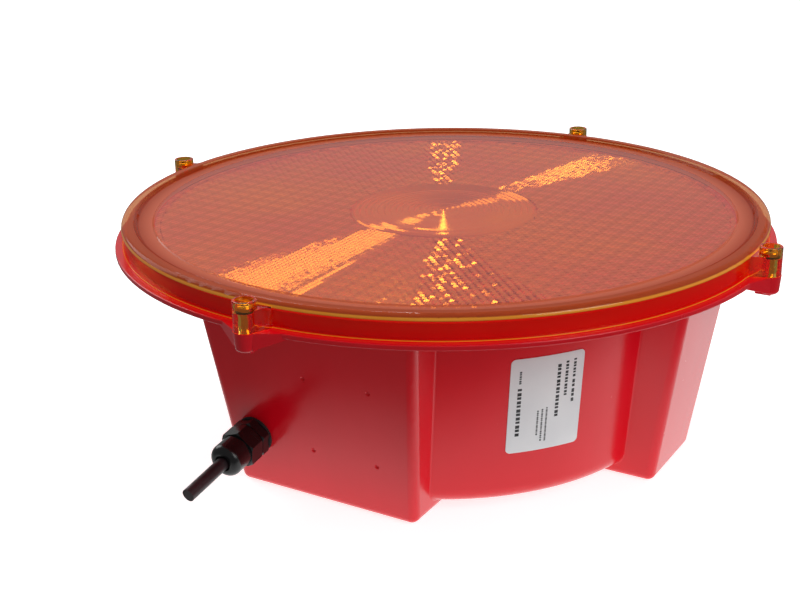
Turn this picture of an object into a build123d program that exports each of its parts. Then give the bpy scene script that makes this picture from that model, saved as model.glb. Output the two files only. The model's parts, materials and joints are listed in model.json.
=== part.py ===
"""Round amber warning-lamp head, 340 mm light-emitting diameter, for road works and barriers.

Millimetres, +Z along the lens axis and up, origin on the mounting plane under the feet, below
the centre of the lens.  The wide foot that carries the cable gland faces -Y; the two narrow
feet face +X and -X; a second wide foot faces +Y.
"""
from build123d import *
import os
from math import cos, pi, radians, sin, sqrt, tan

os.makedirs("parts", exist_ok=True)

# ---- overall envelope
LENS_RADIUS = 178.0
LENS_TOP = 129.0
EAR_TOP = 131.0
FLANGE_RADIUS = 182.0
FLANGE_TOP = 116.0
FLANGE_BOTTOM = 113.4
EAR_CENTRE = 185.5
WALL = 2.6
BODY_GAP = 0.3
SEAT_GAP = 0.05

# ---- bowl and feet of the housing
BOWL_BOTTOM = 6.0
BOWL_RADIUS_AT_FLOOR = 126.0
BOWL_FLARE = 0.115
BOWL_CORNER = 10.0
FOOT_INNER = 92.0
WIDE_FOOT = {"low": (127.3, 53.8), "high": (145.6, 64.8)}
NARROW_FOOT = {"low": (139.8, 27.5), "high": (157.9, 34.0)}
FOOT_EDGE_RADIUS = 4.6
INNER_CORNER_RADIUS = 1.2
INSERT_CENTRE = 115.0
INSERT_HEIGHT = 10.0

# ---- lens seal channel on the flange
CHANNEL_INNER = 166.0
CHANNEL_OUTER = 172.0
CHANNEL_TOP = 123.6

# ---- ears and their screws
EAR_DIAMETER = 11.6
EAR_SEAT = 125.2
LUG_BOTTOM = 106.3
LUG_RADIUS_LOW = 5.2
LUG_RADIUS_HIGH = 6.0
LUG_WING_HALF = 19.0
SCREW_DIAMETER = 4.0
SCREW_HEAD_DIAMETER = 7.6
SCREW_TIP = 108.4
WASHER_THICKNESS = 0.8

# ---- cable gland, measured along its own axis from the foot face
GLAND_X = -39.0
GLAND_Z = 32.0
GLAND_HEX = 19.0
GLAND_TURN = 19.0
GLAND_THREAD = 16.0
GLAND_TIP = 29.0
CABLE_DIAMETER = 7.0
CORD_START = 11.0
CABLE_TAIL_END = -24.0

# ---- light source and control board
FLOOR_Z = BOWL_BOTTOM + WALL
POST_TOP = 18.0
BOARD_THICKNESS = 1.6
BOARD_CENTRE = (0.0, -76.0)
BOARD_SIZE = (96.0, 46.0)
BOARD_POST_PITCH = (86.0, 36.0)
SINK_RADIUS = 32.0
SINK_POST_RADIUS = 25.0
SINK_POST_ANGLES = (90, 210, 330)
SINK_TOP = 33.0
SINK_PLATE = 4.0
FIN_PITCH = 6.4
FIN_THICKNESS = 1.6
BOARD_TOP = POST_TOP + SEAT_GAP + BOARD_THICKNESS
TERMINAL_X = -32.6
TERMINAL_Y = -91.5
TERMINAL_PITCH = 6.0
TERMINAL_WIDTH = 13.0
TERMINAL_DEPTH = 11.0
TERMINAL_HEIGHT = 13.0
COIL_PLACE = (4.0, -88.0)
SWITCH_PLACE = (-38.0, -68.0)
VENT_PLACE = (40.0, 58.0)

# ---- rating label on the bowl, between the gland foot and the +X foot
LABEL_ANGLE = -38.9
LABEL_WIDTH = 39.5
LABEL_LOW = 35.0
LABEL_HIGH = 88.0
LABEL_THICKNESS = 0.25


def save(shape, node):
    """Write one sub-part as parts/NODE.step."""
    export_step(shape, f"parts/{node}.step")


def bowl_radius(z):
    """Outer radius of the flared bowl wall at height z."""
    return BOWL_RADIUS_AT_FLOOR + BOWL_FLARE * z


def prism(points, low, high):
    """Vertical prism on a polygon of XY points."""
    return Pos(0, 0, low) * extrude(Polygon(*points, align=None), high - low, dir=(0, 0, 1))


def around(shape):
    """The shape, made on the -Y side, copied to the four quarters."""
    return [Rot(0, 0, 90 * k) * shape for k in range(4)]


def ring(inner, outer, low, high):
    """A flat ring about Z."""
    body = Cylinder(outer, high - low) - Cylinder(inner, high - low)
    return Pos(0, 0, (low + high) / 2) * body


def rod(radius, low, high):
    """A cylinder about Z between two heights."""
    return Pos(0, 0, (low + high) / 2) * Cylinder(radius, high - low)


def cone_between(low_radius, high_radius, low, high):
    """A cone about Z between two heights."""
    return Pos(0, 0, (low + high) / 2) * Cone(low_radius, high_radius, high - low)


def hexagon(across_flats, low, high, turn=0.0):
    """A hexagonal prism about Z."""
    outline = RegularPolygon(across_flats / 2, 6, major_radius=False, rotation=turn)
    return Pos(0, 0, low) * extrude(outline, high - low)


# ---------------------------------------------------------------- housing

def foot_section(z, reach, half_width, inner):
    """Rectangle of a foot's cross-section at height z, on the -Y side."""
    depth = reach - inner
    return Pos(0, -inner - depth / 2, z) * Rectangle(2 * half_width, depth)


def foot_block(foot, inset, inner, low, high, edge_radius):
    """One tapered foot on the -Y side, all faces moved in by inset."""
    sections = []
    for z in (low, high):
        share = z / FLANGE_BOTTOM
        reach, half_width = (a + (b - a) * share for a, b in zip(foot["low"], foot["high"]))
        sections.append(foot_section(z, reach - inset, half_width - inset, inner))
    block = loft(sections, ruled=True)
    middle = (low + high) / 2
    at_mid_height = [e for e in block.edges() if abs(e.center().Z - middle) < 1]
    uprights = [e for e in at_mid_height if e.center().Y < -inner - 5]
    sole = block.faces().sort_by(Axis.Z)[0]
    return fillet(uprights + list(sole.edges()), edge_radius)


def feet(inset, inner, low, high, edge_radius):
    """All four feet: wide ones on -Y and +Y, narrow ones on +X and -X."""
    blocks = []
    for quarter, foot in enumerate((WIDE_FOOT, NARROW_FOOT, WIDE_FOOT, NARROW_FOOT)):
        block = foot_block(foot, inset, inner, low, high, edge_radius)
        blocks.append(Rot(0, 0, 90 * quarter) * block)
    return blocks


def bowl(inset, low, high, corner):
    """The flared bowl as a full solid with a rounded bottom edge."""
    body = cone_between(bowl_radius(low) - inset, bowl_radius(high) - inset, low, high)
    return fillet(body.edges().sort_by(Axis.Z)[0], corner)


def ear_lug():
    """Red lug under one ear, with wings that fade into the flange."""
    boss = Pos(0, -EAR_CENTRE) * cone_between(LUG_RADIUS_LOW, LUG_RADIUS_HIGH, LUG_BOTTOM, FLANGE_TOP)
    boss = fillet(boss.edges().sort_by(Axis.Z)[0], 2.2)
    flange_y = -sqrt((FLANGE_RADIUS - 1) ** 2 - LUG_WING_HALF ** 2)
    tip_y = -EAR_CENTRE - 2.4
    half = LUG_RADIUS_LOW
    web = prism([(-LUG_WING_HALF, flange_y), (-half, tip_y), (half, tip_y), (LUG_WING_HALF, flange_y)],
                LUG_BOTTOM, FLANGE_TOP)
    fade = Polygon((half - 1, LUG_BOTTOM - 1), (LUG_WING_HALF + 1, LUG_BOTTOM - 1),
                   (LUG_WING_HALF + 1, FLANGE_BOTTOM), (half - 1, LUG_BOTTOM + 1.0), align=None)
    side_cut = extrude(Plane.XZ.offset(EAR_CENTRE) * fade, 30, both=True)
    slope = Polygon((-EAR_CENTRE + 4.5, LUG_BOTTOM - 1), (-150, LUG_BOTTOM - 1),
                    (-150, FLANGE_BOTTOM), (-EAR_CENTRE + 10, FLANGE_BOTTOM), align=None)
    back_cut = extrude(Plane.YZ * slope, 30, both=True)
    return boss + (web - side_cut - mirror(side_cut, Plane.YZ) - back_cut)


def gusset(foot):
    """Pair of thin triangular ribs between a foot's face and the flange."""
    reach = foot["high"][0]
    drop = 15.0
    outline = Polygon((-reach + 3, FLANGE_BOTTOM + 0.5), (-reach - 8, FLANGE_BOTTOM + 0.5),
                      (-reach - 8, FLANGE_BOTTOM - 1), (-reach + 2, FLANGE_BOTTOM - drop), align=None)
    rib = extrude(Plane.YZ * outline, 0.6, both=True)
    return Pos(5.8, 0, 0) * rib + Pos(-5.8, 0, 0) * rib


def board_post_places():
    """XY places of the four control-board posts."""
    cx, cy = BOARD_CENTRE
    px, py = BOARD_POST_PITCH
    return [(cx + sx * px / 2, cy + sy * py / 2) for sx in (-1, 1) for sy in (-1, 1)]


def sink_post_places():
    """XY places of the three posts under the heat sink."""
    angles = [radians(a) for a in SINK_POST_ANGLES]
    return [(SINK_POST_RADIUS * cos(a), SINK_POST_RADIUS * sin(a)) for a in angles]


def face_dimples():
    """Four shallow drill marks on the gland foot's face."""
    marks = []
    for x in (-2.8, 35.0):
        for z in (31.0, 73.3):
            marks.append(foot_plane(x, z) * Pos(0, 0, -0.3) * Cone(0.5, 1.6, 1.2))
    return marks


def foot_plane(x, z):
    """Plane on the gland foot's face at (x, z), its normal pointing out of the lamp."""
    low_reach, high_reach = WIDE_FOOT["low"][0], WIDE_FOOT["high"][0]
    lean = (high_reach - low_reach) / FLANGE_BOTTOM
    y = -(low_reach + lean * z)
    normal = Vector(0, -1, -lean)
    return Plane(origin=(x, y, z), x_dir=(1, 0, 0), z_dir=normal)


def is_inner_corner(edge):
    """True for the upright lines where a foot's side runs into the bowl."""
    box = edge.bounding_box()
    middle = edge.center()
    reach = sqrt(middle.X ** 2 + middle.Y ** 2)
    return box.size.Z > 60 and reach < bowl_radius(middle.Z) + 2


def make_housing():
    """Red moulded housing: bowl, feet, flange, lugs and the posts inside."""
    outer = bowl(0, BOWL_BOTTOM, FLANGE_TOP, BOWL_CORNER)
    outer += feet(0, FOOT_INNER, 0, FLANGE_TOP, FOOT_EDGE_RADIUS)
    outer = fillet([e for e in outer.edges() if is_inner_corner(e)], INNER_CORNER_RADIUS)
    flange = fillet(rod(FLANGE_RADIUS, FLANGE_BOTTOM, FLANGE_TOP).edges(), 0.7)
    outer += flange
    outer += [Rot(0, 0, 90 * k) * ear_lug() for k in range(4)]
    outer += [Rot(0, 0, 90 * k) * gusset(f) for k, f in enumerate((WIDE_FOOT, NARROW_FOOT) * 2)]
    above = FLANGE_TOP + 1
    shell = outer - bowl(WALL, FLOOR_Z, above, BOWL_CORNER - WALL)
    shell -= feet(WALL, FOOT_INNER + WALL, WALL, above, FOOT_EDGE_RADIUS - WALL + 0.4)
    shell += ring(CHANNEL_OUTER, CHANNEL_OUTER + 2.2, FLANGE_TOP - 0.5, CHANNEL_TOP)
    shell += ring(CHANNEL_INNER - 1.6, CHANNEL_INNER, FLANGE_TOP - 0.5, FLANGE_TOP + 5)
    post_places = board_post_places() + sink_post_places()
    shell += [Pos(x, y) * rod(4.0, FLOOR_Z - 1, POST_TOP) for x, y in post_places]
    insert_boss = Pos(0, -INSERT_CENTRE) * rod(7.5, 1, INSERT_HEIGHT + 4)
    shell += around(insert_boss)
    shell -= around(Pos(0, -INSERT_CENTRE) * rod(4.1, -1, INSERT_HEIGHT + 0.6))
    shell -= around(Pos(0, -EAR_CENTRE) * rod(SCREW_DIAMETER / 2 + 0.05, SCREW_TIP - 0.6, FLANGE_TOP + 1))
    shell -= [Pos(x, y) * rod(1.3, FLOOR_Z + 1, POST_TOP + 1) for x, y in post_places]
    shell -= foot_plane(GLAND_X, GLAND_Z) * Cylinder(GLAND_THREAD / 2 + 0.1, 30)
    shell -= Pos(VENT_PLACE[0], VENT_PLACE[1]) * Cylinder(6.1, 30)
    shell -= face_dimples()
    return shell


# ---------------------------------------------------------------- lens

def lens_profile():
    """Half cross-section of the lens in the XZ plane."""
    skirt_bottom = FLANGE_TOP + BODY_GAP
    edge = LENS_RADIUS
    shoulder = 3.0
    field_top = LENS_TOP - 1.8
    field_bottom = field_top - 2.6
    tongue_bottom = FLANGE_TOP + 3.9
    outline = Polyline((0, field_top), (160.5, field_top), (161.2, field_top - 0.6),
                       (169.0, field_top - 0.2), (169.9, LENS_TOP - 0.7), (170.6, LENS_TOP - 0.9),
                       (171.4, LENS_TOP), (edge - shoulder, LENS_TOP))
    shoulder_arc = RadiusArc((edge - shoulder, LENS_TOP), (edge, LENS_TOP - shoulder), shoulder)
    inside = Polyline((edge, LENS_TOP - shoulder), (edge, skirt_bottom), (edge - 2.6, skirt_bottom),
                      (edge - 2.6, LENS_TOP - 3.6), (edge - 3.6, LENS_TOP - 2.6),
                      (edge - 5.4, LENS_TOP - 2.6), (169.9, field_bottom), (169.9, tongue_bottom),
                      (168.1, tongue_bottom), (168.1, field_bottom), (0, field_bottom), (0, field_top))
    return make_face([*outline.edges(), *shoulder_arc.edges(), *inside.edges()])


def lens_ear():
    """Clear screw boss on the rim of the lens, with its web."""
    low = FLANGE_TOP + BODY_GAP
    boss = rod(EAR_DIAMETER / 2, low, EAR_TOP)
    boss = fillet(boss.edges().sort_by(Axis.Z)[-1], 0.6)
    rim_y = EAR_CENTRE - LENS_RADIUS + 1.2
    web = prism([(-10, rim_y), (-5.4, -1.5), (5.4, -1.5), (10, rim_y)], low, LENS_TOP - 2.2)
    return Pos(0, -EAR_CENTRE) * (boss + web)


def make_lens():
    """Amber lens with its skirt, sealing tongue and four screw bosses."""
    lens = revolve(Plane.XZ * lens_profile(), Axis.Z)
    lens += around(lens_ear())
    socket = Pos(0, -EAR_CENTRE) * (rod(4.4, EAR_SEAT, EAR_TOP + 1) + rod(2.3, 100, EAR_TOP))
    return lens - around(socket)


def make_lens_seal():
    """Sealing ring that lies in the flange channel under the lens tongue."""
    seal = ring(CHANNEL_INNER + 0.3, CHANNEL_OUTER - 0.3, FLANGE_TOP + SEAT_GAP, FLANGE_TOP + 3.55)
    return fillet(seal.edges(), 1.0)


def make_screw():
    """Pan-head lens screw with a cross recess, standing on the Z axis."""
    under_head = EAR_SEAT + SEAT_GAP + WASHER_THICKNESS + SEAT_GAP
    head = rod(SCREW_HEAD_DIAMETER / 2, under_head, under_head + 2.6)
    head = fillet(head.edges().sort_by(Axis.Z)[-1], 1.3)
    top = under_head + 2.6
    recess = Pos(0, 0, top - 0.6) * (Box(4.2, 1.0, 2.4) + Box(1.0, 4.2, 2.4))
    shank = rod(SCREW_DIAMETER / 2, SCREW_TIP + 1.5, under_head)
    tip = cone_between(1.1, SCREW_DIAMETER / 2, SCREW_TIP, SCREW_TIP + 1.5)
    return head + shank + tip - recess


def make_screw_washer():
    """Sealing washer under a lens screw's head."""
    low = EAR_SEAT + SEAT_GAP
    return ring(SCREW_DIAMETER / 2 + 0.1, 4.1, low, low + WASHER_THICKNESS)


# ---------------------------------------------------------------- cable gland and cable

def make_gland_body():
    """Gland body: inner thread, hexagon and the thread that the nut runs on."""
    hex_low, hex_high = 1.3, 6.8
    body = chamfered_hexagon(GLAND_HEX, hex_low, hex_high)
    body += rod(GLAND_THREAD / 2, -12, hex_low)
    body += rod(7.5, hex_high, 16)
    return body - rod(4.5, -13, 8.8) - rod(5.75, 8.8, 17)


def chamfered_hexagon(across_flats, low, high):
    """Hexagon with turned corners, as on a nut."""
    corner = across_flats / sqrt(3)
    turned = rod(corner - 0.1, low, high)
    turned = chamfer(turned.edges(), 0.8)
    return hexagon(across_flats, low, high, GLAND_TURN) & turned


def make_gland_nut():
    """Dome nut that presses the seal on to the cable."""
    low, hex_high = 7.2, 16.5
    nut = chamfered_hexagon(GLAND_HEX, low, hex_high)
    dome = rod(9.0, hex_high, GLAND_TIP)
    dome = fillet(dome.edges().sort_by(Axis.Z)[-1], 3.9)
    nut += dome
    nut -= rod(7.6, low - 1, 17)
    nut -= rod(7.0, 16, 23.5)
    nut -= cone_between(7.0, 4.5, 23.5, 26.5)
    return nut - rod(4.5, 26, GLAND_TIP + 1)


def make_gland_claw():
    """Ring of clamping fingers round the seal."""
    claw = ring(5.75, 6.7, 16.05, 22)
    slots = [Rot(0, 0, 30 * k) * Pos(0, 0, 20) * Box(20, 0.9, 5) for k in range(6)]
    return claw - slots


def hex_nut(across_flats, bore, low, high):
    """Plain hexagonal nut."""
    return hexagon(across_flats, low, high) - rod(bore / 2, low - 1, high + 1)


def cord_route():
    """Hand-chosen points of the supply lead, from inside the gland to its cut end."""
    plane = foot_plane(GLAND_X, GLAND_Z)
    start = plane.from_local_coords((0, 0, CORD_START))
    mouth = plane.from_local_coords((0, 0, CORD_START + 19.0))
    return [start, mouth, Vector(-39.2, -176.9, 24.4), Vector(-39.7, -188.2, 22.0)]


def corner_radii(points):
    """Largest even bend radius at each inner point of a route."""
    radii = []
    for a, b, c in zip(points, points[1:], points[2:]):
        turn = radians((b - a).get_angle(c - b))
        radii.append(0.45 * min((b - a).length, (c - b).length) / tan(turn / 2))
    return radii


def make_supply_cable():
    """Outer stretch of the supply lead, from the gland to its cut end."""
    points = cord_route()
    radii = corner_radii(points)
    path = FilletPolyline(*points, radius=radii)
    section = Plane(origin=points[0], z_dir=points[1] - points[0]) * Circle(CABLE_DIAMETER / 2)
    cable = sweep(section, path)
    expected = pi * (CABLE_DIAMETER / 2) ** 2 * path.length
    print("cord radii", [round(r, 1) for r in radii])
    print("cord length", round(path.length, 2), "volume over expected", round(cable.volume / expected, 4))
    return cable


def wire(points, radius, bend):
    """Round wire along a bent path."""
    path = FilletPolyline(*points, radius=bend)
    section = Plane(origin=path @ 0, z_dir=path % 0) * Circle(radius)
    return sweep(section, path)


# ---------------------------------------------------------------- electronics

def make_control_board():
    """Printed circuit board of the flasher."""
    low = POST_TOP + SEAT_GAP
    board = Pos(*BOARD_CENTRE, low + BOARD_THICKNESS / 2) * Box(*BOARD_SIZE, BOARD_THICKNESS)
    return board - [Pos(x, y) * rod(1.6, 0, 60) for x, y in board_post_places()]


def pan_screw(places, seat, shank, length, head):
    """Group of identical pan-head screws with cross recesses."""
    one = rod(head, seat, seat + 2.0)
    one = fillet(one.edges().sort_by(Axis.Z)[-1], 0.9)
    one += rod(shank, seat - length, seat)
    one -= Pos(0, 0, seat + 1.6) * (Box(head * 1.1, 0.7, 1.6) + Box(0.7, head * 1.1, 1.6))
    return Compound([Pos(x, y) * one for x, y in places])


def make_capacitors():
    """Two upright electrolytic capacitors."""
    tops = []
    for x, y, radius, height in ((20.0, -66.0, 6.3, 20.0), (35.0, -68.0, 5.0, 16.0)):
        can = rod(radius, BOARD_TOP + SEAT_GAP, BOARD_TOP + height)
        tops.append(Pos(x, y) * fillet(can.edges(), 0.8))
    return Compound(tops)


def make_coil():
    """Wound choke on its ferrite drum."""
    low = BOARD_TOP + SEAT_GAP
    drum = rod(7.0, low, low + 1.6) + rod(3.2, low, low + 9) + rod(7.0, low + 7.4, low + 9)
    return Pos(*COIL_PLACE) * drum


def make_coil_winding():
    """Copper winding of the choke."""
    low = BOARD_TOP + SEAT_GAP
    turns = [rod(5.9, low + 1.75 + 0.78 * k, low + 2.4 + 0.78 * k) for k in range(7)]
    core = rod(5.6, low + 1.7, low + 7.3)
    return Pos(*COIL_PLACE) * (core + turns - rod(3.3, low, low + 12))


def make_chips():
    """Controller chip, driver transistor and two chip resistors."""
    low = BOARD_TOP + SEAT_GAP
    chip = Pos(-12, -68, low + 1.1) * Box(10, 7, 2.2)
    driver = Pos(24, -90, low + 2.3) * Box(10, 9, 4.6)
    resistors = [Pos(x, -60, low + 0.5) * Box(3.2, 1.6, 1.0) for x in (-24, -18)]
    return Compound([chip, driver] + resistors)


def terminal_pole_xs():
    """X of each pole of the terminal block."""
    return (TERMINAL_X - TERMINAL_PITCH / 2, TERMINAL_X + TERMINAL_PITCH / 2)


def make_terminal_block():
    """Two-pole screw terminal with wire entries facing the gland."""
    low = BOARD_TOP + SEAT_GAP
    block = Box(TERMINAL_WIDTH, TERMINAL_DEPTH, TERMINAL_HEIGHT)
    body = Pos(TERMINAL_X, TERMINAL_Y, low + TERMINAL_HEIGHT / 2) * block
    body = chamfer(body.edges().filter_by(Axis.X).group_by(Axis.Z)[-1], 2.0)
    for x in terminal_pole_xs():
        body -= Pos(x, TERMINAL_Y - 2, low + 4.0) * Box(4.4, TERMINAL_DEPTH, 5.0)
        body -= Pos(x, TERMINAL_Y, low + 6) * Pos(0, 0, 4) * Cylinder(2.2, 10)
    return body


def make_terminal_clamp(x):
    """Pressure plate of one terminal pole."""
    return Pos(x, TERMINAL_Y, BOARD_TOP + 4.5) * Box(3.8, 4.6, 0.9)


def make_terminal_screw(x):
    """Slotted clamp screw of one terminal pole."""
    low = BOARD_TOP + 5.0
    screw = rod(1.5, low, low + 4.6) + rod(1.95, low + 4.6, low + 6.4)
    return Pos(x, TERMINAL_Y) * (screw - Pos(0, 0, low + 6.2) * Box(5, 0.7, 1.4))


def make_switch_case():
    """Metal case of the flash-rate slide switch."""
    low = BOARD_TOP + SEAT_GAP
    case = Box(12, 6, 5) - Pos(0, 0, 1.5) * Box(6.4, 2.6, 4)
    return Pos(*SWITCH_PLACE, low + 2.5) * case


def make_switch_slider():
    """Slider of the flash-rate switch, at its slow end."""
    low = BOARD_TOP + SEAT_GAP + 2.2
    knob = Pos(SWITCH_PLACE[0] - 2.0, SWITCH_PLACE[1], low + 3.2) * Box(2.0, 2.0, 6.0)
    return chamfer(knob.edges().group_by(Axis.Z)[-1], 0.3)


def make_heat_sink():
    """Round finned heat sink under the LED board."""
    low = POST_TOP + SEAT_GAP
    plate_low = SINK_TOP - SINK_PLATE
    sink = rod(SINK_RADIUS, plate_low, SINK_TOP)
    for k in range(-4, 5):
        x = FIN_PITCH * k
        length = 2 * sqrt(SINK_RADIUS ** 2 - x ** 2) - 3
        sink += Pos(x, 0, (low + plate_low) / 2) * Box(FIN_THICKNESS, length, plate_low - low)
    for x, y in sink_post_places():
        sink += Pos(x, y) * rod(4.4, low, plate_low)
        sink -= Pos(x, y) * rod(1.6, low - 1, SINK_TOP + 1)
    return sink


def led_places():
    """XY places of the LED emitters: one in the centre and six round it."""
    outer = [(8.5 * cos(radians(60 * k)), 8.5 * sin(radians(60 * k))) for k in range(6)]
    return [(0.0, 0.0)] + outer


def make_led_board():
    """Round aluminium-core LED board."""
    low = SINK_TOP + SEAT_GAP
    board = rod(SINK_RADIUS - 1, low, low + BOARD_THICKNESS)
    return board - [Pos(x, y) * rod(1.6, low - 1, low + 3) for x, y in sink_post_places()]


def make_led_emitters():
    """Seven LED packages with their domes."""
    low = SINK_TOP + SEAT_GAP + BOARD_THICKNESS + SEAT_GAP
    dome = Sphere(1.3) & Pos(0, 0, 2) * Box(4, 4, 4)
    package = Pos(0, 0, low + 0.4) * Box(3.4, 3.4, 0.8) + Pos(0, 0, low + 0.8) * dome
    return Compound([Pos(x, y) * package for x, y in led_places()])


def make_led_cover():
    """Clear collimator cover over the LED emitters."""
    low = SINK_TOP + SEAT_GAP + BOARD_THICKNESS + SEAT_GAP
    cover = rod(14.5, low, low + 7)
    cover = fillet(cover.edges().sort_by(Axis.Z)[-1], 3.5)
    return cover - rod(12.9, low - 1, low + 4.6)


def make_led_lead():
    """Pair of wires from the control board to the LED board."""
    pair = []
    for x in (-1.5, 1.5):
        points = [(x, -56.0, BOARD_TOP + SEAT_GAP), (x, -56.0, 31.0), (x, -44.0, 42.0), (x, -28.0, 42.0),
                  (x, -22.0, SINK_TOP + 3)]
        pair.append(wire(points, 0.8, 3.5))
    return Compound(pair)


def make_core_wire(side):
    """One insulated core from the cable tail down into its terminal pole."""
    plane = foot_plane(GLAND_X, GLAND_Z)
    start = plane.from_local_coords((1.7 * side, 0, CABLE_TAIL_END - SEAT_GAP))
    bend = plane.from_local_coords((1.9 * side, 0, CABLE_TAIL_END - 6))
    x = TERMINAL_X + side * TERMINAL_PITCH / 2
    entry_z = BOARD_TOP + 2.9
    points = [start, bend, Vector(x, -99.5, entry_z + 5.5), Vector(x, -102.5, entry_z),
              Vector(x, TERMINAL_Y + 1.5, entry_z)]
    return wire(points, 0.95, 1.5)


# ---------------------------------------------------------------- small parts

def make_label():
    """Self-adhesive rating label on the flared bowl wall."""
    lift = 0.03
    pad = 5.0
    low, high = LABEL_LOW - pad, LABEL_HIGH + pad
    back_low, back_high = bowl_radius(low) + lift, bowl_radius(high) + lift
    skin = cone_between(back_low + LABEL_THICKNESS, back_high + LABEL_THICKNESS, low, high)
    skin -= cone_between(back_low, back_high, low, high)
    rectangle = RectangleRounded(LABEL_WIDTH, LABEL_HIGH - LABEL_LOW, 2.5)
    outline = Plane.YZ.offset(100) * Pos(0, (LABEL_LOW + LABEL_HIGH) / 2) * rectangle
    return Rot(0, 0, LABEL_ANGLE) * (skin & extrude(outline, 60))


def make_foot_inserts():
    """Threaded brass inserts in the feet, one per foot."""
    insert = rod(4.0, 0.1, INSERT_HEIGHT) - rod(3.0, -1, INSERT_HEIGHT + 1)
    return Compound(around(Pos(0, -INSERT_CENTRE) * insert))


def make_vent_plug():
    """Pressure-balance plug in the bowl floor, its cap underneath."""
    cap = fillet(rod(9.0, BOWL_BOTTOM - 4.0, BOWL_BOTTOM - SEAT_GAP).edges().sort_by(Axis.Z)[0], 1.5)
    plug = cap + rod(6.0, BOWL_BOTTOM - 1, FLOOR_Z + 6)
    plug -= rod(2.0, BOWL_BOTTOM, FLOOR_Z + 7)
    plug -= [Rot(0, 0, 60 * k) * Pos(7.6, 0, BOWL_BOTTOM - 2.6) * Box(4, 1.4, 1.6) for k in range(6)]
    return Pos(*VENT_PLACE) * plug


def make_vent_nut():
    """Nut that holds the pressure-balance plug."""
    return Pos(*VENT_PLACE) * hex_nut(17.0, 12.2, FLOOR_Z + SEAT_GAP, FLOOR_Z + 4)


def main():
    """Build and write every sub-part."""
    gland = foot_plane(GLAND_X, GLAND_Z)
    save(make_housing(), "housing")
    save(make_lens(), "lens")
    save(make_lens_seal(), "lens_seal")
    for k in range(4):
        place = Rot(0, 0, 90 * k) * Pos(0, -EAR_CENTRE)
        save(place * make_screw(), f"lens_screw_{k + 1}")
        save(place * make_screw_washer(), f"screw_washer_{k + 1}")
    save(gland * make_gland_body(), "gland_body")
    save(gland * ring(8.2, 10.3, 0.05, 1.25), "gland_gasket")
    save(gland * hex_nut(22.0, 16.2, -WALL - 5.2, -WALL - 0.1), "gland_locknut")
    save(gland * make_gland_claw(), "gland_claw")
    save(gland * ring(3.6, 5.6, 9.2, 22.2), "gland_seal")
    save(gland * make_gland_nut(), "gland_nut")
    save(make_supply_cable(), "supply_cable")
    save(gland * rod(CABLE_DIAMETER / 2, CABLE_TAIL_END, CORD_START - SEAT_GAP), "cable_tail")
    save(make_core_wire(-1), "core_wire_minus")
    save(make_core_wire(1), "core_wire_plus")
    save(make_terminal_block(), "terminal_block")
    for k, x in enumerate(terminal_pole_xs()):
        save(make_terminal_clamp(x), f"terminal_clamp_{k + 1}")
        save(make_terminal_screw(x), f"terminal_screw_{k + 1}")
    save(make_control_board(), "control_board")
    save(pan_screw(board_post_places(), BOARD_TOP + SEAT_GAP, 1.2, 7.0, 2.8), "board_screws")
    save(make_capacitors(), "capacitors")
    save(make_coil(), "coil_core")
    save(make_coil_winding(), "coil_winding")
    save(make_chips(), "board_chips")
    save(make_switch_case(), "rate_switch_case")
    save(make_switch_slider(), "rate_switch_slider")
    save(make_heat_sink(), "heat_sink")
    save(make_led_board(), "led_board")
    led_seat = SINK_TOP + SEAT_GAP + BOARD_THICKNESS + SEAT_GAP
    save(pan_screw(sink_post_places(), led_seat, 1.2, 22.0, 2.8), "led_screws")
    save(make_led_emitters(), "led_emitters")
    save(make_led_cover(), "led_cover")
    save(make_led_lead(), "led_lead")
    save(make_label(), "rating_label")
    save(make_foot_inserts(), "foot_inserts")
    save(make_vent_plug(), "vent_plug")
    save(make_vent_nut(), "vent_nut")


main()
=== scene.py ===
"""Round amber road-works warning lamp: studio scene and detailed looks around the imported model.

Metres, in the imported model's frame: +Z along the lens axis, the cable gland faces -Y.
"""
import json
from math import atan2, cos, degrees, pi, radians, sin

import bpy
import numpy as np
from mathutils import Matrix, Vector


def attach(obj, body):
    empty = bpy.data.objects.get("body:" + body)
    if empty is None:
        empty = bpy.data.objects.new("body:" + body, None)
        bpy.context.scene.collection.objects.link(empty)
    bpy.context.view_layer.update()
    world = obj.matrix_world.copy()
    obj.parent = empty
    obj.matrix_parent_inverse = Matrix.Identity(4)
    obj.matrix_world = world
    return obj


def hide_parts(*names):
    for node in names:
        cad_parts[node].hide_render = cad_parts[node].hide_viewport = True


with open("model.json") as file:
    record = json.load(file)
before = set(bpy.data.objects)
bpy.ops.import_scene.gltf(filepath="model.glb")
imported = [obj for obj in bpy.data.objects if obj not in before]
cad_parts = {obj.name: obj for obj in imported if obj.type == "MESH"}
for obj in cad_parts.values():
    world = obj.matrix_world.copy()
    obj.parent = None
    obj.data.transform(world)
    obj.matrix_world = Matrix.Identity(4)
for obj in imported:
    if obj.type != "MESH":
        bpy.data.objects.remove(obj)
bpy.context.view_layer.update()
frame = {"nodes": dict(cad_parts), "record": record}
nodes = frame["nodes"]
scene = bpy.context.scene
MM = 0.001

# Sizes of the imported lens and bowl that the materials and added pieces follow.
LENS_CELL = 10.4 * MM
FIELD_RADIUS = 157.5 * MM
MARGIN_RADIUS = 0.1604
GROOVE_RADIUS = 0.1698
INNER_WALL_RADIUS = 0.172
EAR_RADIUS = 0.1783
PLATE_HEIGHT = 0.126
SHOULDER_HEIGHT = 0.1268
CENTRE_RADIUS = 52.0 * MM
BOWL_RADIUS = 0.126
BOWL_FLARE = 0.115


# ---------------------------------------------------------------- camera

CAMERA_PLACE = (0.3589, -0.6449, 0.3460)
CAMERA_RIGHT = (0.86039, 0.50938, -0.01586)
CAMERA_UP = (-0.16543, 0.30858, 0.9367)
CAMERA_FORWARD = (-0.48203, 0.80331, -0.34976)


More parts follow.
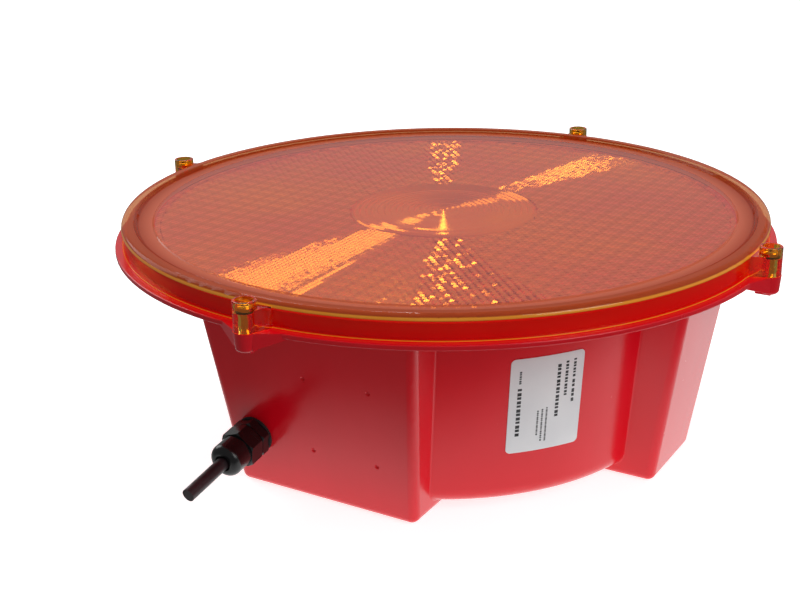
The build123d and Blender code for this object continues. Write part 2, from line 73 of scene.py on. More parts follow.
def add_camera():
    """Camera at the viewing angle of the lamp's three-quarter front view."""
    data = bpy.data.cameras.new("camera")
    data.lens = 61.6
    data.sensor_width = 36.0
    data.shift_x = -0.00275
    data.shift_y = -0.0014
    data.clip_start = 0.02
    turn = Matrix((CAMERA_RIGHT, CAMERA_UP, tuple(-v for v in CAMERA_FORWARD))).transposed()
    camera = bpy.data.objects.new("camera", data)
    camera.matrix_world = Matrix.Translation(CAMERA_PLACE) @ turn.to_4x4()
    scene.collection.objects.link(camera)
    scene.camera = camera


add_camera()


# ---------------------------------------------------------------- supply lead

CABLE_DIAMETER = 7 * MM
PRINT_LINE_X = -0.0408
CABLE_ROUTE = [(-0.0390, -0.14332, 0.03025), (-0.0390, -0.16208, 0.02722), (-0.0392, -0.1769, 0.0244),
               (-0.0397, -0.1882, 0.0220)]


def add_cable():
    """The supply lead as one smooth curve, cut off a short way out of the gland."""
    data = bpy.data.curves.new("supply_lead", "CURVE")
    data.dimensions = "3D"
    # The radius is given at each point, which also keeps the curve's bounding box tight.
    data.bevel_depth = 1.0
    data.bevel_resolution = 8
    data.resolution_u = 24
    data.use_fill_caps = True
    spline = data.splines.new("NURBS")
    spline.points.add(len(CABLE_ROUTE) - 1)
    for point, place in zip(spline.points, CABLE_ROUTE):
        point.co = (*place, 1.0)
        point.radius = CABLE_DIAMETER / 2
    spline.order_u = 3
    spline.use_endpoint_u = True
    cable = bpy.data.objects.new("supply_lead", data)
    scene.collection.objects.link(cable)
    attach(cable, "lamp_base")
    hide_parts("supply_cable")
    return cable


supply_lead = add_cable()


# ---------------------------------------------------------------- material helpers

class Nodes:
    """Short calls for building one material's node tree."""

    def __init__(self, name):
        self.material = bpy.data.materials.new(name)
        self.material.use_nodes = True
        self.tree = self.material.node_tree
        self.tree.nodes.clear()
        self.output = self.tree.nodes.new("ShaderNodeOutputMaterial")
        self.place = self.node("ShaderNodeTexCoord").outputs["Object"]

    def node(self, kind, **settings):
        made = self.tree.nodes.new(kind)
        for key, value in settings.items():
            setattr(made, key, value)
        return made

    def link(self, source, target):
        self.tree.links.new(source, target)

    def put(self, socket, value):
        if isinstance(value, bpy.types.NodeSocket):
            self.link(value, socket)
        elif hasattr(value, "__len__") and len(value) == 3 and socket.type == "RGBA":
            socket.default_value = (*value, 1.0)
        else:
            socket.default_value = value

    def math(self, operation, a, b=0.0):
        made = self.node("ShaderNodeMath", operation=operation)
        self.put(made.inputs[0], a)
        self.put(made.inputs[1], b)
        return made.outputs[0]

    def noise(self, scale, detail=3.0, rough=0.5, stretch=None, distortion=0.0):
        place = self.place
        if stretch:
            mapping = self.node("ShaderNodeMapping")
            mapping.inputs["Scale"].default_value = stretch
            self.link(place, mapping.inputs["Vector"])
            place = mapping.outputs[0]
        made = self.node("ShaderNodeTexNoise")
        self.link(place, made.inputs["Vector"])
        made.inputs["Scale"].default_value = scale
        made.inputs["Detail"].default_value = detail
        made.inputs["Roughness"].default_value = rough
        made.inputs["Distortion"].default_value = distortion
        return made.outputs["Fac"]

    def voronoi(self, scale):
        made = self.node("ShaderNodeTexVoronoi")
        self.link(self.place, made.inputs["Vector"])
        made.inputs["Scale"].default_value = scale
        return made.outputs["Distance"]

    def remap(self, value, low, high, to_low=0.0, to_high=1.0):
        made = self.node("ShaderNodeMapRange")
        for socket, v in zip(made.inputs, (value, low, high, to_low, to_high)):
            self.put(socket, v)
        return made.outputs[0]

    def mix(self, share, a, b):
        made = self.node("ShaderNodeMix", data_type="RGBA")
        self.put(made.inputs[0], share)
        self.put(made.inputs[6], a)
        self.put(made.inputs[7], b)
        return made.outputs[2]

    def axis(self, name):
        if not hasattr(self, "split"):
            self.split = self.node("ShaderNodeSeparateXYZ")
            self.link(self.place, self.split.inputs[0])
        return self.split.outputs[name]

    def radius(self):
        x, y = self.axis("X"), self.axis("Y")
        return self.math("SQRT", self.math("ADD", self.math("MULTIPLY", x, x), self.math("MULTIPLY", y, y)))

    def bump(self, height, strength, distance=0.001, normal=None):
        made = self.node("ShaderNodeBump")
        made.inputs["Strength"].default_value = strength
        made.inputs["Distance"].default_value = distance
        self.put(made.inputs["Height"], height)
        if normal is not None:
            self.link(normal, made.inputs["Normal"])
        return made.outputs[0]

    def principled(self, color, rough, normal=None, **constants):
        made = self.node("ShaderNodeBsdfPrincipled")
        self.put(made.inputs["Base Color"], color)
        self.put(made.inputs["Roughness"], rough)
        if normal is not None:
            self.link(normal, made.inputs["Normal"])
        for key, value in constants.items():
            self.put(made.inputs[key.replace("_", " ")], value)
        return made.outputs[0]

    def mixed(self, share, a, b):
        made = self.node("ShaderNodeMixShader")
        self.put(made.inputs[0], share)
        self.link(a, made.inputs[1])
        self.link(b, made.inputs[2])
        return made.outputs[0]

    def finish(self, surface):
        self.link(surface, self.output.inputs["Surface"])
        return self.material


def moulded(name, dark, light, rough=(0.3, 0.45), grain=900.0, bump=0.08, mottle=40.0, **constants):
    """Moulded plastic or rubber: mottled colour, uneven gloss and a fine moulded grain."""
    n = Nodes(name)
    broad = n.noise(mottle, 4.0)
    fine = n.noise(grain, 2.0, 0.6)
    color = n.mix(n.remap(broad, 0.35, 0.68), dark, light)
    gloss = n.remap(n.noise(mottle * 3.1, 3.0), 0.35, 0.7, *rough)
    return n.finish(n.principled(color, gloss, n.bump(fine, bump, 0.0004), **constants))


def metal(name, dark, light, rough=(0.2, 0.4), stretch=(1, 1, 12), scale=500.0, bump=0.06, **constants):
    """Metal with brushed or turned marks, small stains and uneven gloss."""
    n = Nodes(name)
    marks = n.noise(scale, 3.0, 0.6, stretch)
    stains = n.noise(160.0, 4.0, 0.6)
    color = n.mix(n.remap(stains, 0.35, 0.7), dark, light)
    gloss = n.remap(marks, 0.3, 0.7, *rough)
    return n.finish(n.principled(color, gloss, n.bump(marks, bump, 0.0002), Metallic=1.0, **constants))


# ---------------------------------------------------------------- materials

def housing_material():
    """Glossy red moulding with faint flow marks and fine scuffs."""
    n = Nodes("housing_red")
    flow = n.noise(9.0, 5.0, 0.55, (1, 1, 0.4), 0.6)
    color = n.mix(n.remap(flow, 0.3, 0.7), (0.72, 0.0005, 0.008), (0.82, 0.001, 0.014))
    scuffs = n.noise(260.0, 5.0, 0.7, (1, 1, 0.25))
    rough = n.math("ADD", n.remap(flow, 0.3, 0.7, 0.16, 0.24), n.remap(scuffs, 0.62, 0.8, 0.0, 0.12))
    peel = n.noise(420.0, 2.0)
    waves = n.noise(28.0, 2.0)
    normal = n.bump(peel, 0.05, 0.0003, n.bump(waves, 0.05, 0.003))
    shade = n.principled(color, rough, normal, Subsurface_Weight=0.12, Subsurface_Radius=(0.02, 0.002, 0.003),
                         Subsurface_Scale=0.25, Specular_IOR_Level=0.5, IOR=1.49)
    return n.finish(shade)


AMBER_SKIN = (1.0, 0.785, 0.53)


def shadow_pass(n, surface, tint=AMBER_SKIN):
    """Lets light through a clear piece, tinted, in place of a full shadow."""
    ray = n.node("ShaderNodeLightPath").outputs["Is Shadow Ray"]
    clear = n.node("ShaderNodeBsdfTransparent")
    clear.inputs["Color"].default_value = (*tint, 1.0)
    return n.mixed(ray, surface, clear.outputs[0])


def cell_lines(n, width, pitch=LENS_CELL):
    """1 on the straight moulding lines between the square cells of the lens, else 0."""
    lines = []
    for name in ("X", "Y"):
        step = n.math("FRACT", n.math("DIVIDE", n.axis(name), pitch))
        off_line = n.math("SUBTRACT", 0.5, n.math("ABSOLUTE", n.math("SUBTRACT", step, 0.5)))
        lines.append(n.remap(off_line, 0.0, width, 1.0, 0.0))
    return n.math("MAXIMUM", *lines)


def lens_material():
    """Amber polycarbonate: a clear glossy skin over what is under it, and thick refracting screw ears."""
    n = Nodes("lens_amber")
    waves = n.noise(70.0, 2.0)
    normal = n.bump(waves, 0.08, 0.0015, n.bump(cell_lines(n, 0.06), 0.10, 0.0002))
    gloss = n.remap(n.noise(120.0, 4.0), 0.35, 0.7, 0.02, 0.07)
    skin = n.node("ShaderNodeBsdfTransparent")
    n.put(skin.inputs["Color"], AMBER_SKIN)
    shine = n.node("ShaderNodeBsdfGlossy")
    n.put(shine.inputs["Color"], (1.0, 0.97, 0.95))
    n.put(shine.inputs["Roughness"], gloss)
    n.link(normal, shine.inputs["Normal"])
    fresnel = n.node("ShaderNodeFresnel")
    fresnel.inputs["IOR"].default_value = 1.6
    n.link(normal, fresnel.inputs["Normal"])
    radius, height = n.radius(), n.axis("Z")
    low = n.math("LESS_THAN", height, PLATE_HEIGHT)
    within = n.math("MULTIPLY", low, n.math("LESS_THAN", radius, INNER_WALL_RADIUS))
    inside = n.math("MAXIMUM", n.node("ShaderNodeNewGeometry").outputs["Backfacing"], within)
    thin = n.remap(radius, 0.1595, 0.1610, 1.0, 0.25)
    gleam = n.math("MULTIPLY", n.math("MULTIPLY", fresnel.outputs[0], thin), n.math("SUBTRACT", 1.0, inside))
    plate = n.mixed(gleam, skin.outputs[0], shine.outputs[0])

    # The deeper-coloured margin, groove and rim round the prism field.
    from_groove = n.math("ABSOLUTE", n.math("SUBTRACT", radius, GROOVE_RADIUS))
    groove = n.remap(from_groove, 0.0008, 0.0016, 1.0, 0.0)
    margin = n.mix(n.remap(radius, 0.1606, 0.1690), (0.62, 0.15, 0.08), (0.42, 0.06, 0.02))
    rim = n.mix(n.remap(radius, 0.1700, 0.1725), margin, (0.44, 0.07, 0.02))
    rim = n.mix(groove, rim, (0.34, 0.03, 0.002))
    high = n.math("GREATER_THAN", height, PLATE_HEIGHT)
    wall = n.math("MAXIMUM", high, n.math("LESS_THAN", radius, INNER_WALL_RADIUS))
    band = n.math("MULTIPLY", n.math("GREATER_THAN", radius, MARGIN_RADIUS), wall)
    solid = n.principled(rim, gloss, normal, Specular_IOR_Level=0.06)
    plate = n.mixed(n.math("MULTIPLY", band, 0.85), plate, solid)

    # Painted glow: the shoulder's edge and the lower rim of the skirt get a bright orange colour and a faint
    # emission, standing in for light gathered in the clear plastic there.
    corner = n.math("ABSOLUTE", n.math("SUBTRACT", height, SHOULDER_HEIGHT))
    edge = n.math("MULTIPLY", n.remap(radius, 0.1766, 0.1773), n.remap(corner, 0.0004, 0.0009, 1.0, 0.0))
    painted_lip_glow = n.math("MULTIPLY", n.remap(radius, 0.1772, 0.1776, 0.0, 0.8), n.remap(height, 0.1171, 0.1166))
    # Colour and emission of the painted glow on these edges.
    glow = n.principled(n.mix(waves, (0.95, 0.33, 0.02), (1.0, 0.40, 0.04)), gloss, normal,
                        Emission_Color=(1.0, 0.36, 0.02), Emission_Strength=0.10)
    share = n.math("MULTIPLY", n.math("MAXIMUM", edge, painted_lip_glow), 0.85)
    plate = n.mixed(share, plate, glow)

    amber = n.mix(n.remap(n.noise(22.0, 3.0), 0.3, 0.7), (1.0, 0.52, 0.05), (1.0, 0.64, 0.10))
    facets = n.bump(n.voronoi(420.0), 0.35, 0.0006, normal)
    ear = n.principled(amber, gloss, facets, Transmission_Weight=1.0, IOR=1.5)
    surface = n.mixed(n.math("GREATER_THAN", radius, EAR_RADIUS), plate, ear)
    return n.finish(shadow_pass(n, surface))


def prism_material():
    """The prism side of the lens: amber facets that mirror the lights over a soft body colour."""
    n = Nodes("lens_prism")
    patch = n.noise(9.0, 3.0)
    sparkle = n.noise(900.0, 2.0)
    normal = n.bump(sparkle, 0.05, 0.0003)
    mirror = n.node("ShaderNodeBsdfGlossy")
    n.put(mirror.inputs["Color"], (1.0, 0.76, 0.26))
    n.put(mirror.inputs["Roughness"], n.remap(sparkle, 0.3, 0.7, 0.05, 0.12))
    n.link(normal, mirror.inputs["Normal"])
    body = n.mix(n.remap(patch, 0.35, 0.65), (0.78, 0.12, 0.46), (0.88, 0.28, 0.20))
    outer = n.math("GREATER_THAN", n.radius(), CENTRE_RADIUS)
    squares = n.math("MULTIPLY", cell_lines(n, 0.18), outer)
    body = n.mix(n.math("MULTIPLY", squares, 0.45), body, (0.36, 0.04, 0.10))
    # Painted shade: each cell of the field is drawn darker towards its +Y side, a soft shading laid over the body
    # colour.
    painted_shade_across_cell = n.math("FRACT", n.math("DIVIDE", n.math("ADD", n.axis("Y"), 1.0), LENS_CELL))
    body = n.mix(n.math("MULTIPLY", n.remap(painted_shade_across_cell, 0.5, 1.0, 0.0, 0.5), outer), body, (0.42, 0.05, 0.16))
    seams = n.math("MULTIPLY", cell_lines(n, 0.16, LENS_CELL / 4), outer)
    share = n.math("SUBTRACT", 0.30, n.math("MULTIPLY", seams, 0.24))
    surface = n.mixed(share, n.principled(body, 0.4, normal), mirror.outputs[0])
    return n.finish(shadow_pass(n, surface))


def cover_material():
    """Clear polycarbonate of the LED cover."""
    n = Nodes("cover_clear")
    tint = n.mix(n.noise(60.0), (0.93, 0.95, 0.96), (1.0, 1.0, 1.0))
    gloss = n.remap(n.noise(200.0), 0.3, 0.7, 0.02, 0.08)
    normal = n.bump(n.noise(300.0, 2.0), 0.05, 0.0004)
    glass = n.principled(tint, gloss, normal, Transmission_Weight=1.0, IOR=1.58)
    return n.finish(shadow_pass(n, glass, (0.9, 0.9, 0.9)))


def cable_material():
    """Dark brown-black sheath with a worn row of pale print marks along its top."""
    n = Nodes("cable_sheath")
    broad = n.noise(90.0, 4.0)
    color = n.mix(n.remap(broad, 0.3, 0.7), (0.014, 0.007, 0.009), (0.035, 0.018, 0.022))
    across = n.math("ABSOLUTE", n.math("SUBTRACT", n.axis("X"), PRINT_LINE_X))
    band = n.remap(across, 0.0005, 0.0007, 1.0, 0.0)
    marks = n.remap(n.noise(520.0, 1.0, 0.4, (0.4, 1, 0.4)), 0.52, 0.58)
    upper = n.math("GREATER_THAN", n.math("ADD", n.axis("Z"), n.math("MULTIPLY", n.axis("Y"), -0.2)), 0.0595)
    printed = n.math("MULTIPLY", n.math("MULTIPLY", band, marks), upper)
    color = n.mix(n.math("MULTIPLY", printed, 0.6), color, (0.42, 0.40, 0.40))
    gloss = n.remap(n.noise(300.0, 3.0), 0.3, 0.7, 0.30, 0.48)
    normal = n.bump(n.noise(1500.0, 2.0), 0.12, 0.0003)
    return n.finish(n.principled(color, gloss, normal))


def board_material(name, mask, copper, pad):
    """Printed board: solder mask over tracks, with bare pads."""
    n = Nodes(name)
    tracks = n.node("ShaderNodeTexBrick")
    n.link(n.place, tracks.inputs["Vector"])
    n.put(tracks.inputs["Scale"], 160.0)
    n.put(tracks.inputs["Color1"], mask)
    n.put(tracks.inputs["Color2"], tuple(0.8 * v for v in mask))
    n.put(tracks.inputs["Mortar"], copper)
    n.put(tracks.inputs["Mortar Size"], 0.05)
    dots = n.remap(n.voronoi(260.0), 0.10, 0.14, 1.0, 0.0)
    color = n.mix(n.math("MULTIPLY", dots, 0.8), tracks.outputs["Color"], pad)
    gloss = n.remap(n.noise(200.0), 0.3, 0.7, 0.25, 0.40)
    return n.finish(n.principled(color, gloss, n.bump(tracks.outputs["Fac"], 0.2, 0.0001)))


def label_material():
    """White satin film with a faint fibre and slightly greyed handling marks."""
    n = Nodes("label_white")
    fibre = n.noise(600.0, 4.0, 0.6, (1, 1, 3))
    stains = n.noise(35.0, 3.0)
    color = n.mix(n.remap(stains, 0.35, 0.7), (0.76, 0.76, 0.78), (0.84, 0.84, 0.85))
    return n.finish(n.principled(color, n.remap(fibre, 0.3, 0.7, 0.38, 0.5), n.bump(fibre, 0.05, 0.0001)))


def winding_material():
    """Enamelled copper turns, their lines across the drum's axis."""
    n = Nodes("copper_winding")
    turns = n.node("ShaderNodeTexWave", bands_direction="Z")
    n.link(n.place, turns.inputs["Vector"])
    n.put(turns.inputs["Scale"], 400.0)
    n.put(turns.inputs["Distortion"], 0.4)
    color = n.mix(turns.outputs["Fac"], (0.30, 0.08, 0.02), (0.75, 0.30, 0.10))
    normal = n.bump(turns.outputs["Fac"], 0.5, 0.0003)
    return n.finish(n.principled(color, n.remap(n.noise(300.0), 0.3, 0.7, 0.25, 0.4), normal, Metallic=1.0))


MATERIALS = {
    "housing_red": housing_material(),
    "lens_amber": lens_material(),
    "lens_prism": prism_material(),
    "seal_foam": moulded("seal_foam", (0.02, 0.02, 0.02), (0.05, 0.05, 0.05), (0.7, 0.9), 700.0, 0.5),
    "screw_gold": metal("screw_gold", (0.95, 0.58, 0.12), (1.0, 0.78, 0.30), (0.08, 0.20)),
    "washer_rubber": moulded("washer_rubber", (0.01, 0.01, 0.01), (0.03, 0.03, 0.03), (0.5, 0.7)),
    "gland_black": moulded("gland_black", (0.003, 0.003, 0.0035), (0.009, 0.008, 0.009), (0.16, 0.30), 1100.0, 0.10),
    "seal_black": moulded("seal_black", (0.01, 0.01, 0.01), (0.025, 0.025, 0.025), (0.5, 0.7)),
    "cable_sheath": cable_material(),
    "core_brown": moulded("core_brown", (0.10, 0.03, 0.012), (0.18, 0.06, 0.025)),
    "core_blue": moulded("core_blue", (0.01, 0.05, 0.30), (0.02, 0.09, 0.45)),
    "terminal_green": moulded("terminal_green", (0.01, 0.18, 0.05), (0.02, 0.26, 0.08)),
    "screw_steel": metal("screw_steel", (0.45, 0.45, 0.47), (0.72, 0.72, 0.74)),
    "board_green": board_material("board_green", (0.01, 0.14, 0.05), (0.02, 0.22, 0.07), (0.75, 0.70, 0.55)),
    "capacitor_sleeve": moulded("capacitor_sleeve", (0.012, 0.012, 0.02), (0.03, 0.03, 0.045), (0.2, 0.35)),
    "ferrite": moulded("ferrite", (0.03, 0.03, 0.033), (0.07, 0.07, 0.075), (0.5, 0.7), 1500.0, 0.3),
    "copper_winding": winding_material(),
    "chip_black": moulded("chip_black", (0.01, 0.01, 0.01), (0.025, 0.025, 0.025), (0.4, 0.6), 2500.0, 0.3),
    "switch_steel": metal("switch_steel", (0.5, 0.5, 0.52), (0.75, 0.75, 0.77)),
    "switch_white": moulded("switch_white", (0.70, 0.69, 0.64), (0.82, 0.81, 0.77)),
    "sink_aluminium": metal("sink_aluminium", (0.55, 0.56, 0.58), (0.80, 0.81, 0.83), (0.25, 0.45)),
    "board_white": board_material("board_white", (0.80, 0.80, 0.78), (0.70, 0.71, 0.70), (0.70, 0.62, 0.40)),
    "led_yellow": moulded("led_yellow", (0.80, 0.50, 0.05), (0.92, 0.66, 0.12), (0.2, 0.3)),
    "cover_clear": cover_material(),
    "lead_red": moulded("lead_red", (0.35, 0.01, 0.01), (0.5, 0.02, 0.02)),
    "label_white": label_material(),
    "label_ink": moulded("label_ink", (0.012, 0.012, 0.014), (0.05, 0.05, 0.055), (0.4, 0.6)),
    "insert_brass": metal("insert_brass", (0.55, 0.36, 0.12), (0.80, 0.58, 0.24)),
}


def dress(obj, name):
    """Gives every face of a piece one of the materials above."""
    obj.data.materials.clear()
    obj.data.materials.append(MATERIALS[name])


def dress_frame():
    """Gives each CAD node the material of its slot in the record."""
    for part in frame["record"]["subparts"]:
        dress(nodes[part["node"]], part["material_slot"])


dress_frame()
dress(supply_lead, "cable_sheath")


# ---------------------------------------------------------------- mesh helpers

def add_piece(name, points, faces, body, material, smooth=False):
    """A mesh piece that rides on a body."""
    data = bpy.data.meshes.new(name)
    data.from_pydata([tuple(map(float, p)) for p in points], [], [tuple(map(int, f)) for f in faces])
    data.validate()
    data.update()
    data.polygons.foreach_set("use_smooth", [smooth] * len(data.polygons))
    piece = bpy.data.objects.new(name, data)
    scene.collection.objects.link(piece)
    dress(piece, material)
    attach(piece, body)
    return piece


# ---------------------------------------------------------------- lens prisms

PRISM_SUB = 4
PRISM_PITCH = LENS_CELL / PRISM_SUB
PRISM_TILT = radians(16.0)
FLAT_TILT = radians(4.0)
FLAT_JITTER = 0.012
# Each sector: middle angle, half width and outward flare in degrees, unevenness, lean (0 alternates).
STEEP_SECTORS = [(-99, 13, 0, 0.008, 1), (-61, 6, 14, 0.04, 0), (119, 6, 0, 0.05, 0), (74, 9, 0, 0.012, -1)]
PRISM_MIDDLE = 0.12385
PRISM_BASE = 0.1228
RING_PITCH = 3.4 * MM
RING_CUT = 0.78
BORDER_RADIUS = 160.3 * MM


def facet_set(x, y):
    """Tilt, unevenness and lean of the facets at a point: some sectors are cut steeper, the rest nearly flat."""
    angle = degrees(atan2(y, x))
    reach = np.hypot(x, y)
    best, rough, sided = 0.0, FLAT_JITTER, 0
    for middle, half, flare, jitter, lean in STEEP_SECTORS:
        off = (angle - middle + 180) % 360 - 180
        width = half + flare * reach / FIELD_RADIUS * (off > 0)
        share = min(max((width - abs(off)) / 3.0, 0.0), 1.0)
        if share > best:
            best, rough, sided = share, jitter, lean
    return FLAT_TILT + (PRISM_TILT - FLAT_TILT) * best, rough, sided


def prism_cells():
    """Square prisms between the ring zone and the edge: tilted facets over side walls and a flat base."""
    count = int(FIELD_RADIUS / PRISM_PITCH) + 2
    uneven = np.random.default_rng(5)
    points, faces = [], []
    facets = {}

    def corner(i, j):
        p = np.array([i * PRISM_PITCH, j * PRISM_PITCH])
        r = max(np.hypot(*p), 1e-9)
        return p * min(max(r, CENTRE_RADIUS), FIELD_RADIUS) / r

    def add(x, y, z):
        points.append((x, y, z))
        return len(points) - 1

    for i in range(-count, count):
        for j in range(-count, count):
            middle = np.array([i + 0.5, j + 0.5]) * PRISM_PITCH
            if not CENTRE_RADIUS - 0.2 * MM < np.hypot(*middle) < FIELD_RADIUS + 0.3 * MM:
                continue
            cell = (np.floor(np.array([i, j]) / PRISM_SUB) + 0.5) * LENS_CELL
            outward = cell / np.hypot(*cell)
            corners = [corner(*at) for at in ((i, j), (i + 1, j), (i + 1, j + 1), (i, j + 1))]
            tilt, jitter, lean = facet_set(*middle)
            side = lean or (1 if (i + j) % 2 else -1)
            slope = -side * np.tan(tilt) * outward + uneven.normal(0, jitter, 2)
            heights = [PRISM_MIDDLE + float((c - middle) @ slope) for c in corners]
            facets[i, j] = [add(*c, z) for c, z in zip(corners, heights)]
            faces.append(tuple(facets[i, j]))
    base = {}
    for (i, j), ids in facets.items():
        ring = []
        for at, k in zip(((i, j), (i + 1, j), (i + 1, j + 1), (i, j + 1)), ids):
            if at not in base:
                base[at] = add(points[k][0], points[k][1], PRISM_BASE)
            ring.append(base[at])
        faces.append(tuple(reversed(ring)))
        right, above = facets.get((i + 1, j)), facets.get((i, j + 1))
        faces.append((right[0], right[3], ids[2], ids[1]) if right else (ring[1], ring[2], ids[2], ids[1]))
        faces.append((above[1], above[0], ids[3], ids[2]) if above else (ring[2], ring[3], ids[3], ids[2]))
        if (i - 1, j) not in facets:
            faces.append((ring[3], ring[0], ids[0], ids[3]))
        if (i, j - 1) not in facets:
            faces.append((ring[0], ring[1], ids[1], ids[0]))
    return points, faces


def turned(profile, segments):
    """A closed ring turned about Z from a closed half-section of (radius, height) points."""
    points, faces = [], []
    count = len(profile)
    for k in range(segments):
        a = 2 * pi * k / segments
        points += [(r * cos(a), r * sin(a), z) for r, z in profile]
    for k in range(segments):
        here, there = k * count, ((k + 1) % segments) * count
        for m in range(count):
            n = (m + 1) % count
            faces.append((here + m, there + m, there + n, here + n))
    return points, faces


def join(*parts):
    """Several (points, faces) as one."""
    points, faces = [], []
    for more_points, more_faces in parts:
        start = len(points)
        points += more_points
        faces += [tuple(start + k for k in face) for face in more_faces]
    return points, faces


def ring_profile():
    """Half-section of the ring zone: saw-toothed rings over a flat base, round a small centre nub."""
    uneven = np.random.default_rng(9)
    count = int(CENTRE_RADIUS / RING_PITCH)
    upper = [(0.4 * MM, PRISM_MIDDLE + 0.3 * MM), (1.4 * MM, PRISM_MIDDLE), (2.1 * MM, PRISM_MIDDLE - 0.3 * MM)]
    for k in range(1, count + 1):
        rise = RING_PITCH * RING_CUT * np.tan(PRISM_TILT + uneven.normal(0, 0.05))
        upper.append((k * RING_PITCH, PRISM_MIDDLE + rise / 2))
        upper.append(((k + RING_CUT) * RING_PITCH, PRISM_MIDDLE - rise / 2))
    upper = [(min(r, CENTRE_RADIUS), z) for r, z in upper]
    return [(0.4 * MM, PRISM_BASE), (CENTRE_RADIUS, PRISM_BASE)] + upper[::-1]


def add_prisms():
    """The prism side of the lens, as one piece just under its clear top wall."""
    border = [(FIELD_RADIUS - 0.1 * MM, PRISM_BASE), (BORDER_RADIUS, PRISM_BASE),
              (BORDER_RADIUS, PRISM_MIDDLE + 0.4 * MM), (FIELD_RADIUS - 0.1 * MM, PRISM_MIDDLE + 0.4 * MM)]
    points, faces = join(prism_cells(), turned(ring_profile(), 180), turned(border, 240))
    return add_piece("lens_prisms", points, faces, "lens_cover", "lens_prism")


add_prisms()


# ---------------------------------------------------------------- label print

LABEL_ANGLE = radians(-38.9)
LABEL_WIDTH = 39.5 * MM
LABEL_LOW = 35.0 * MM
LABEL_HIGH = 88.0 * MM
# Each row: place across the label, start, end, bar height in mm, number of bars.
PRINT_ROWS = [
    (0.87, 0.08, 0.28, 1.5, 6),
    (0.87, 0.30, 0.55, 1.5, 5),
    (0.76, 0.09, 0.47, 1.6, 11),
    (0.65, 0.11, 0.68, 1.9, 14),
    (0.515, 0.55, 0.92, 0.9, 17),
    (0.455, 0.56, 0.91, 0.9, 15),
    (0.395, 0.57, 0.84, 0.9, 12),
    (0.13, 0.13, 0.27, 1.1, 6),
    (0.13, 0.31, 0.83, 2.1, 12),
]


def label_point(u, v, lift):
    """A point on the label: u across its width, v down its height, both from 0 to 1."""
    z = LABEL_HIGH + (LABEL_LOW - LABEL_HIGH) * v
    r = BOWL_RADIUS + BOWL_FLARE * z + (0.28 + lift) * MM
    a = LABEL_ANGLE + (u - 0.5) * LABEL_WIDTH / r
    return (r * cos(a), r * sin(a), z)


def print_bar(u0, u1, v0, v1):
    """A thin slab of ink on the label."""
    corners = ((u0, v0), (u1, v0), (u1, v1), (u0, v1))
    points = [label_point(u, v, lift) for lift in (0.004, 0.03) for u, v in corners]
    faces = [(0, 1, 2, 3), (7, 6, 5, 4), (0, 4, 5, 1), (1, 5, 6, 2), (2, 6, 7, 3), (3, 7, 4, 0)]
    return points, faces


def add_label_print():
    """Rows of short plain bars that stand for the label's printed lines."""
    bars = []
    for row, (u, v0, v1, height, count) in enumerate(PRINT_ROWS):
        half = height * MM / LABEL_WIDTH / 2
        step = (v1 - v0) / count
        for k in range(count):
            width = (0.55, 0.74, 0.62, 0.8)[(3 * k + row) % 4]
            bars.append(print_bar(u - half, u + half, v0 + step * k, v0 + step * (k + width)))
    points, faces = join(*bars)
    add_piece("label_print", points, faces, "lamp_base", "label_ink")


add_label_print()


# ---------------------------------------------------------------- studio

# Centre of the painted pool of light on the floor.
PAINTED_POOL_CENTRE = (0.02, 0.06)


def floor_material():
    """Matt white studio table, evenly white to the camera, with a painted pool of light that reflected and bounced
    rays see under and just round the lamp.
    """
    n = Nodes("studio_floor")
    tone = n.mix(n.noise(4.0), (0.93, 0.93, 0.93), (0.96, 0.96, 0.96))
    normal = n.bump(n.noise(300.0, 2.0), 0.03, 0.0005)
    seen = n.principled(tone, 0.7, normal, Emission_Color=(1.0, 1.0, 1.0), Emission_Strength=0.75)
    x, y = n.math("SUBTRACT", n.axis("X"), PAINTED_POOL_CENTRE[0]), n.math("SUBTRACT", n.axis("Y"), PAINTED_POOL_CENTRE[1])
    away = n.math("SQRT", n.math("ADD", n.math("MULTIPLY", x, x), n.math("MULTIPLY", y, y)))
    # Painted pool of light: an emission seen only by reflected and bounced rays, strong within 0.22 m of the centre
    # and faint beyond 0.28 m.
    glow = n.node("ShaderNodeEmission")
    n.link(n.remap(away, 0.22, 0.28, 1.15, 0.2), glow.inputs["Strength"])
    ray = n.node("ShaderNodeLightPath").outputs["Is Camera Ray"]
    return n.finish(n.mixed(ray, glow.outputs[0], seen))


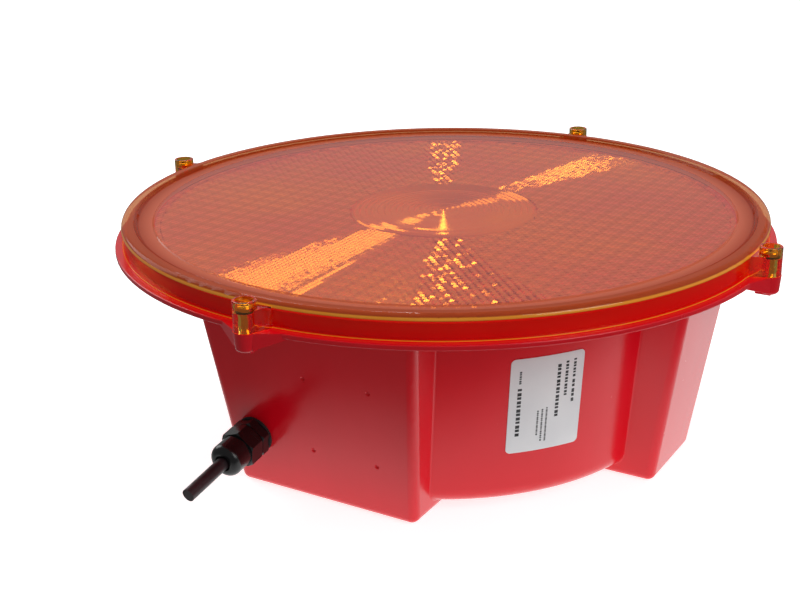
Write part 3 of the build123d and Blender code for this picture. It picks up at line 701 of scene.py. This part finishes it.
def add_floor():
    """Wide pale floor under the feet."""
    half = 6.0
    data = bpy.data.meshes.new("studio_floor")
    data.from_pydata([(-half, -half, 0), (half, -half, 0), (half, half, 0), (-half, half, 0)], [], [(0, 1, 2, 3)])
    floor = bpy.data.objects.new("studio_floor", data)
    floor.location = (0, 0, -0.0002)
    scene.collection.objects.link(floor)
    data.materials.append(floor_material())


def add_softbox(name, place, aim, size, power, mirrored=True):
    """Rectangular softbox that faces a point."""
    data = bpy.data.lights.new(name, "AREA")
    data.shape = "RECTANGLE"
    data.size, data.size_y = size
    data.energy = power
    light = bpy.data.objects.new(name, data)
    light.location = place
    light.rotation_euler = (Vector(aim) - Vector(place)).to_track_quat("-Z", "Y").to_euler()
    light.visible_camera = False
    light.visible_glossy = mirrored
    scene.collection.objects.link(light)


def add_world():
    """Soft white surroundings, with a brighter backdrop behind the lamp."""
    world = bpy.data.worlds.new("studio")
    world.use_nodes = True
    tree = world.node_tree
    tree.nodes.clear()
    place = tree.nodes.new("ShaderNodeTexCoord")
    split = tree.nodes.new("ShaderNodeSeparateXYZ")
    level = tree.nodes.new("ShaderNodeMapRange")
    glow = tree.nodes.new("ShaderNodeBackground")
    output = tree.nodes.new("ShaderNodeOutputWorld")
    tree.links.new(place.outputs["Generated"], split.inputs[0])
    tree.links.new(split.outputs["Y"], level.inputs["Value"])
    for name, value in (("From Min", -0.2), ("From Max", 0.6), ("To Min", 0.28), ("To Max", 0.50)):
        level.inputs[name].default_value = value
    tree.links.new(level.outputs[0], glow.inputs["Strength"])
    tree.links.new(glow.outputs[0], output.inputs[0])
    scene.world = world


add_floor()
add_world()
add_softbox("left_card", (-0.92, 0.70, 1.11), (0, 0, 0.12), (0.42, 0.26), 1.5)
add_softbox("rear_card", (-0.65, 1.03, 1.03), (0, 0, 0.12), (0.14, 0.10), 0.35)
add_softbox("rear_strip", (-0.49, 0.87, 1.26), (0, 0, 0.12), (0.05, 0.5), 1.0)
add_softbox("top_fill", (0.0, 0.35, 2.2), (0, 0, 0.12), (1.2, 1.2), 14.0, mirrored=False)
add_softbox("left_fill", (-1.6, 0.1, 0.9), (0, 0, 0.05), (1.0, 1.0), 8.0)
add_softbox("right_key", (1.6, -0.5, 1.0), (0, 0, 0.05), (1.0, 1.0), 10.0)
scene.view_settings.view_transform = "Standard"
scene.view_settings.look = "None"
